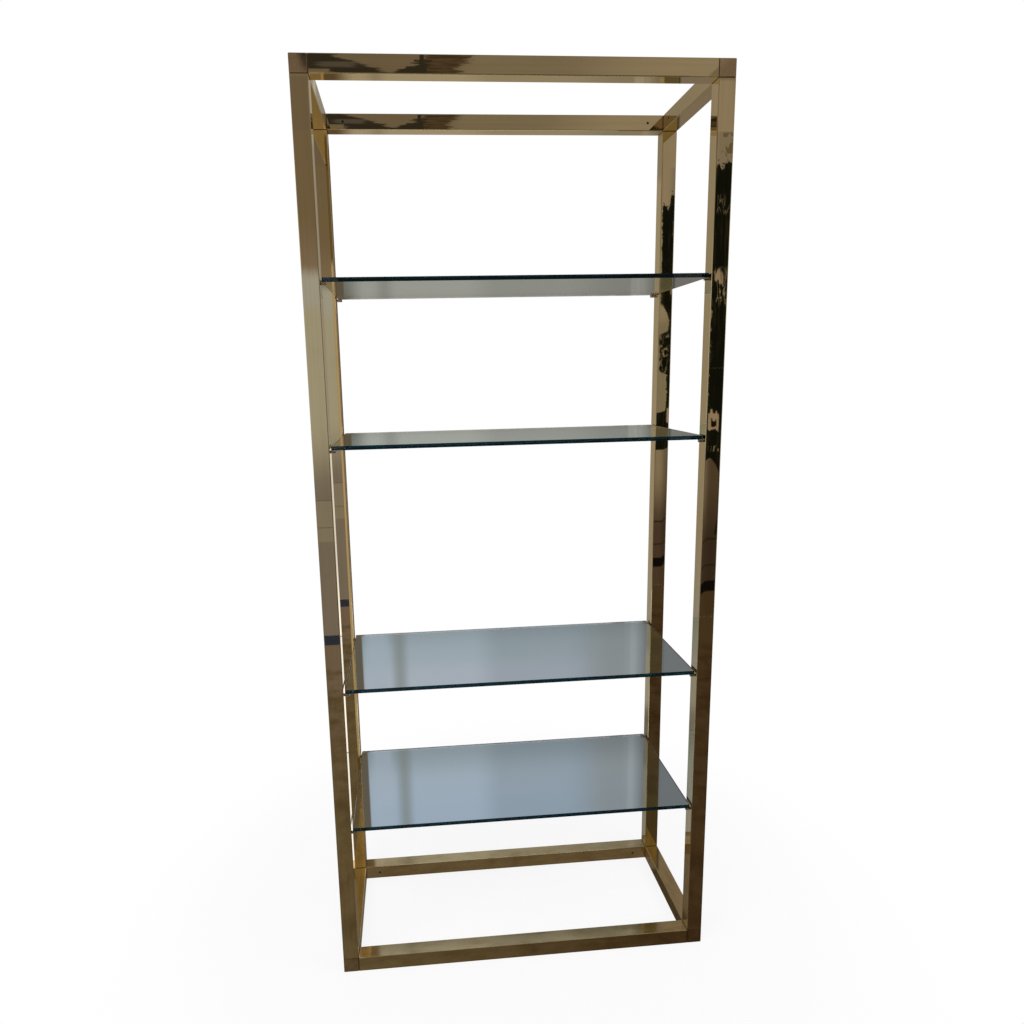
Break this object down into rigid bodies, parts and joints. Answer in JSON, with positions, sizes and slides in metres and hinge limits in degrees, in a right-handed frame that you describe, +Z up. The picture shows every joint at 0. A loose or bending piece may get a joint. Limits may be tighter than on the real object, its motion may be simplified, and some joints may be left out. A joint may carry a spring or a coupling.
{
  "type": "etagere",
  "caption": "Tall open etagere: a rectangular frame of polished square brass tube on corner cubes, with loose glass shelves resting on small brass pins.",
  "frame": {"origin": "on the floor, at the middle of the frame's plan", "axes": "+X to the right along the width seen from the front, +Y to the rear, +Z up"},
  "size_m": [0.932, 0.381, 2.13],
  "materials": {
    "polished_brass": "mirror polished and lacquered, lightly aged",
    "pin_brass": "turned and polished",
    "shelf_glass": "clear plate glass with a faint blue-grey tint and polished edges that read dark teal",
    "screw_steel": "black oxide steel"
  },
  "bodies": {
    "frame": {"corner_bottom_front_left": "polished_brass", "corner_bottom_front_right": "polished_brass", "corner_bottom_rear_left": "polished_brass", "corner_bottom_rear_right": "polished_brass", "corner_top_front_left": "polished_brass", "corner_top_front_right": "polished_brass", "corner_top_rear_left": "polished_brass", "corner_top_rear_right": "polished_brass", "post_front_left": "polished_brass", "post_front_right": "polished_brass", "post_rear_left": "polished_brass", "post_rear_right": "polished_brass", "rail_bottom_front": "polished_brass", "rail_bottom_rear": "polished_brass", "rail_bottom_left": "polished_brass", "rail_bottom_right": "polished_brass", "rail_top_front": "polished_brass", "rail_top_rear": "polished_brass", "rail_top_left": "polished_brass", "rail_top_right": "polished_brass", "shelf_pin_1_front_left": "pin_brass", "shelf_pin_1_front_right": "pin_brass", "shelf_pin_1_rear_left": "pin_brass", "shelf_pin_1_rear_right": "pin_brass", "shelf_pin_2_front_left": "pin_brass", "shelf_pin_2_front_right": "pin_brass", "shelf_pin_2_rear_left": "pin_brass", "shelf_pin_2_rear_right": "pin_brass", "shelf_pin_3_front_left": "pin_brass", "shelf_pin_3_front_right": "pin_brass", "shelf_pin_3_rear_left": "pin_brass", "shelf_pin_3_rear_right": "pin_brass", "shelf_pin_4_front_left": "pin_brass", "shelf_pin_4_front_right": "pin_brass", "shelf_pin_4_rear_left": "pin_brass", "shelf_pin_4_rear_right": "pin_brass", "set_screws_bottom_front": "screw_steel", "set_screws_bottom_rear": "screw_steel", "set_screws_bottom_left": "screw_steel", "set_screws_bottom_right": "screw_steel", "set_screws_top_front": "screw_steel", "set_screws_top_rear": "screw_steel", "set_screws_top_left": "screw_steel", "set_screws_top_right": "screw_steel"},
    "glass_shelf_1": {"glass_shelf_1": "shelf_glass"},
    "glass_shelf_2": {"glass_shelf_2": "shelf_glass"},
    "glass_shelf_3": {"glass_shelf_3": "shelf_glass"},
    "glass_shelf_4": {"glass_shelf_4": "shelf_glass"}
  },
  "joints": [
    {"name": "shelf_1_lift", "type": "slide", "parent": "frame", "child": "glass_shelf_1", "axis": [0, 0, 1], "range_m": [0, 0.15]},
    {"name": "shelf_2_lift", "type": "slide", "parent": "frame", "child": "glass_shelf_2", "axis": [0, 0, 1], "range_m": [0, 0.15]},
    {"name": "shelf_3_lift", "type": "slide", "parent": "frame", "child": "glass_shelf_3", "axis": [0, 0, 1], "range_m": [0, 0.15]},
    {"name": "shelf_4_lift", "type": "slide", "parent": "frame", "child": "glass_shelf_4", "axis": [0, 0, 1], "range_m": [0, 0.15]}
  ]
}
